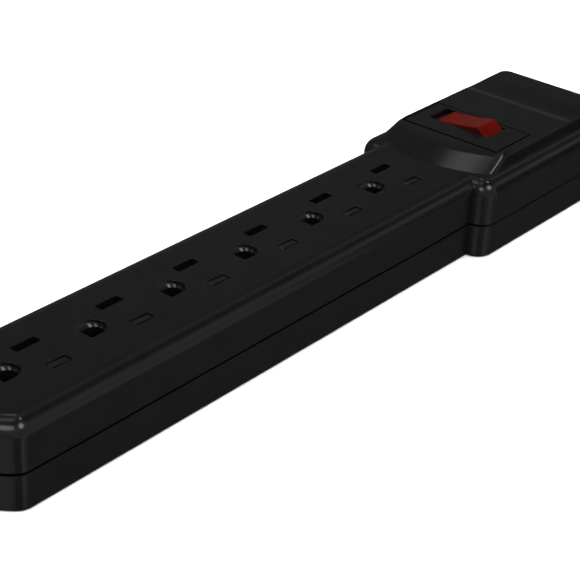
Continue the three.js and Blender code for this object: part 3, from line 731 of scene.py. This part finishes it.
def rocker():
    """The button, level about its own pivot: dished between two ridges, with rounded edges."""
    ridge = 8.3
    top = 4.53
    dish = 0.35
    profile = [(-11.0, -3.0), (11.0, -3.0), (11.6, 1.1)]
    steps = 24
    for i in range(steps + 1):
        y = ridge * (1 - 2 * i / steps)
        profile.append((y, top - dish * (1 - (y / ridge) ** 2)))
    profile.append((-11.6, 1.1))
    rings = [[(x, y, z) for y, z in profile] for x in (-ROCKER_HALF_X, ROCKER_HALF_X)]
    button = bevelled(closed_loft("rocker", rings), 0.45, 4, 25)
    cut(button, block("hollow", -4.1, 4.1, -9.6, 9.6, -4, 2))
    post = prism("post", arc(0, 0, 2.6, 0, 350, 35), -6, 3)
    pins = [closed_loft("pin", [[(x, y, z) for y, z in arc(0, 0, 1.2, 0, 345, 23)] for x in ends])
            for ends in ((-5.9, -4.5), (4.5, 5.9))]
    join(button, post, *pins)
    return cut(button, prism("bore", arc(0, 0, 1.9, 0, 350, 35), -7, 1.2))


def flap():
    """The slot flap, level about its own pivot, with its pin."""
    foot = [(-0.5, -0.4), (0.6, -0.5), (6.1, -0.1)]
    crown = [(6.1, FLAP_TOP), (-0.3, FLAP_TOP), (-0.5, FLAP_TOP - 0.2)]
    sides = (FLAP_WIDTH / 2, FLAP_SLACK - FLAP_WIDTH / 2)
    plate = closed_loft("flap", [[(x, y, z) for x, z in foot + crown] for y in sides])
    bevelled(plate, 0.1, 3, 60)
    radius, half_length = FLAP_PIN
    circle = arc(0, 0, radius, 0, 337.5, 15)
    ends = (half_length, -half_length)
    pin = closed_loft("flap_pin", [[(x, y, z) for x, z in circle] for y in ends])
    return join(plate, pin)


# ---------------------------------------------------------------- assembly
make_camera()
black = materials["black_plastic"]
finish_piece(upper_shell(), "housing", "upper_housing", black)
finish_piece(lower_shell(), "housing", "lower_housing", black)
finish_piece(bezel(), "housing", "switch_bezel", black)

pivot = (SWITCH[0], SWITCH[1], ROCKER_PIVOT_Z)
button = turned(rocker(), pivot, Matrix.Rotation(ROCKER_REST, 4, "X"))
finish_piece(button, "rocker", "rocker_button", materials["red_lens"])
for i, x in enumerate(OUTLET_XS, 1):
    place = (x + FLAP_PIVOT[0], -SLOT_Y, FLAP_PIVOT[1])
    piece = turned(flap(), place, Matrix.Rotation(FLAP_REST, 4, "Y"))
    piece.name = f"flap_{i}"
    finish_piece(piece, f"shutter_{i}", f"slot_shutter_{i}", materials["grey_shutter"])

slot_of = {s["node"]: s["material_slot"] for s in frame["record"]["subparts"]}
for name, node in frame["nodes"].items():
    node.data.materials.clear()
    node.data.materials.append(materials[slot_of[name]])

# ---------------------------------------------------------------- floor and light
FLOOR_HALF = 6.0  # metres, as are the light's sizes
OVERHEAD_HEIGHT = 2.0
OVERHEAD_SIZE = (3.0, 3.0)
OVERHEAD_POWER = 120


def make_floor():
    data = bpy.data.meshes.new("floor")
    h = FLOOR_HALF
    data.from_pydata([(-h, -h, 0), (h, -h, 0), (h, h, 0), (-h, h, 0)], [], [(0, 1, 2, 3)])
    floor = bpy.data.objects.new("floor", data)
    bpy.context.scene.collection.objects.link(floor)
    material, _, shader = new_material("floor")
    shader.inputs["Base Color"].default_value = (0.9, 0.9, 0.9, 1)
    shader.inputs["Roughness"].default_value = 0.9
    data.materials.append(material)
    floor.visible_glossy = False
    floor.visible_shadow = False
    floor.location.z = -0.0002


def make_overhead():
    """A wide soft light above, which isn't mirrored in the glossy shell."""
    data = bpy.data.lights.new("overhead", "AREA")
    data.shape = "RECTANGLE"
    data.size, data.size_y = OVERHEAD_SIZE
    data.energy = OVERHEAD_POWER
    lamp = bpy.data.objects.new("overhead", data)
    bpy.context.scene.collection.objects.link(lamp)
    lamp.location = (0, 0, OVERHEAD_HEIGHT)
    lamp.rotation_mode = "QUATERNION"
    lamp.rotation_quaternion = Vector((0, 0, 1)).to_track_quat("Z", "Y")
    lamp.visible_glossy = False
    lamp.visible_camera = False


# Brightness of the studio by angle about the X axis, in degrees: 0 is level on the near side, 90
# straight up, 180 level on the far side. The first ring lights the bar, the second the head.
BAR_RING = [
    (-180, 0.08), (-90, 0.05), (-60, 0.06), (-42, 0.08), (-30, 0.11), (-22, 0.26), (-15, 0.35),
    (-6, 0.29), (3, 0.26), (12, 0.28), (24, 0.34), (35, 0.29), (44, 0.16), (51, 0.04), (60, 0.01),
    (73, 0.02), (81, 0.1), (88, 0.2), (96, 0.16), (105, 0.1), (120, 0.07), (138, 0.075), (150, 0.08),
    (165, 0.12), (180, 0.07),
]
HEAD_RING = [
    (-180, 0.08), (-90, 0.05), (-60, 0.055), (-42, 0.06), (-34, 0.08), (-27, 0.08), (-20, 0.01),
    (-14, 0.0), (6, 0.0), (14, 0.02), (24, 0.2), (37, 0.37), (45, 0.22), (50, 0.11), (62, 0.03),
    (72, 0.06), (82, 0.2), (89, 0.25), (96, 0.12), (110, 0.06), (128, 0.04), (138, 0.055), (152, 0.08),
    (168, 0.1), (180, 0.07),
]
BRIGHTEST = 0.4
HEAD_TURN = (0.70, 0.735)  # direction X over which the first ring turns into the second

# soft panels: direction, half angle in degrees, brightness
PANELS = [
    ((0.234, 0.295, 0.926), 6, 1.2),
    ((0.21, 0.17, 0.963), 6, 0.1),
    ((-0.02, -0.77, 0.64), 12, 4.5),
    ((0.3, -0.26, 0.918), 4, 7.0),
    ((-0.74, -0.36, 0.56), 12, 2.8),
    ((-0.72, 0.48, 0.5), 8, 1.4),
    ((-0.32, 0.45, 0.83), 10, 1.1),
    ((-0.25, 0.0, 0.968), 8, 0.9),
    ((0.1, -0.89, -0.45), 11, 0.16),
    ((-0.1, -0.82, -0.56), 6, 0.35),
    ((-0.8, -0.3, -0.52), 14, 0.25),
]


def math_node(tree, operation, first, second):
    node = tree.nodes.new("ShaderNodeMath")
    node.operation = operation
    for socket, value in zip(node.inputs, (first, second)):
        if isinstance(value, (int, float)):
            socket.default_value = value
        else:
            tree.links.new(value, socket)
    return node.outputs["Value"]


def ring_tone(tree, turn, ring):
    """The ring's brightness where turn runs from 0 to 1 round the circle."""
    ramp = tree.nodes.new("ShaderNodeValToRGB")
    stops = ramp.color_ramp.elements
    stops.remove(stops[1])
    for i, (degrees, bright) in enumerate(ring):
        stop = stops.new((degrees + 180) / 360) if i else stops[0]
        tone = bright / BRIGHTEST
        stop.color = (tone, tone, tone, 1)
    tree.links.new(turn, ramp.inputs["Fac"])
    return math_node(tree, "MULTIPLY", ramp.outputs["Color"], BRIGHTEST)


def make_world():
    """A studio of soft grey walls with a few brighter panels."""
    world = bpy.data.worlds.new("studio")
    world.use_nodes = True
    tree = world.node_tree
    direction = tree.nodes.new("ShaderNodeTexCoord").outputs["Generated"]
    split = tree.nodes.new("ShaderNodeSeparateXYZ")
    tree.links.new(direction, split.inputs["Vector"])
    near = math_node(tree, "MULTIPLY", split.outputs["Y"], -1.0)
    angle = math_node(tree, "ARCTAN2", split.outputs["Z"], near)
    turn = math_node(tree, "ADD", math_node(tree, "DIVIDE", angle, 2 * math.pi), 0.5)
    share = tree.nodes.new("ShaderNodeMapRange")
    share.inputs["From Min"].default_value = HEAD_TURN[0]
    share.inputs["From Max"].default_value = HEAD_TURN[1]
    tree.links.new(split.outputs["X"], share.inputs["Value"])
    mix = tree.nodes.new("ShaderNodeMix")
    tree.links.new(share.outputs["Result"], mix.inputs["Factor"])
    tree.links.new(ring_tone(tree, turn, BAR_RING), mix.inputs["A"])
    tree.links.new(ring_tone(tree, turn, HEAD_RING), mix.inputs["B"])
    total = mix.outputs["Result"]
    for way, half_angle, bright in PANELS:
        dot = tree.nodes.new("ShaderNodeVectorMath")
        dot.operation = "DOT_PRODUCT"
        dot.inputs[1].default_value = Vector(way).normalized()
        tree.links.new(direction, dot.inputs[0])
        edge = tree.nodes.new("ShaderNodeMapRange")
        edge.interpolation_type = "SMOOTHSTEP"
        edge.inputs["From Min"].default_value = math.cos(math.radians(half_angle * 1.25))
        edge.inputs["From Max"].default_value = math.cos(math.radians(half_angle * 0.75))
        edge.inputs["To Max"].default_value = bright
        tree.links.new(dot.outputs["Value"], edge.inputs["Value"])
        total = math_node(tree, "ADD", total, edge.outputs["Result"])
    background = tree.nodes["Background"]
    background.inputs["Color"].default_value = (1, 1, 1, 1)
    tree.links.new(total, background.inputs["Strength"])
    bpy.context.scene.world = world


bpy.context.scene.view_settings.view_transform = "Standard"
make_floor()
make_world()
make_overhead()
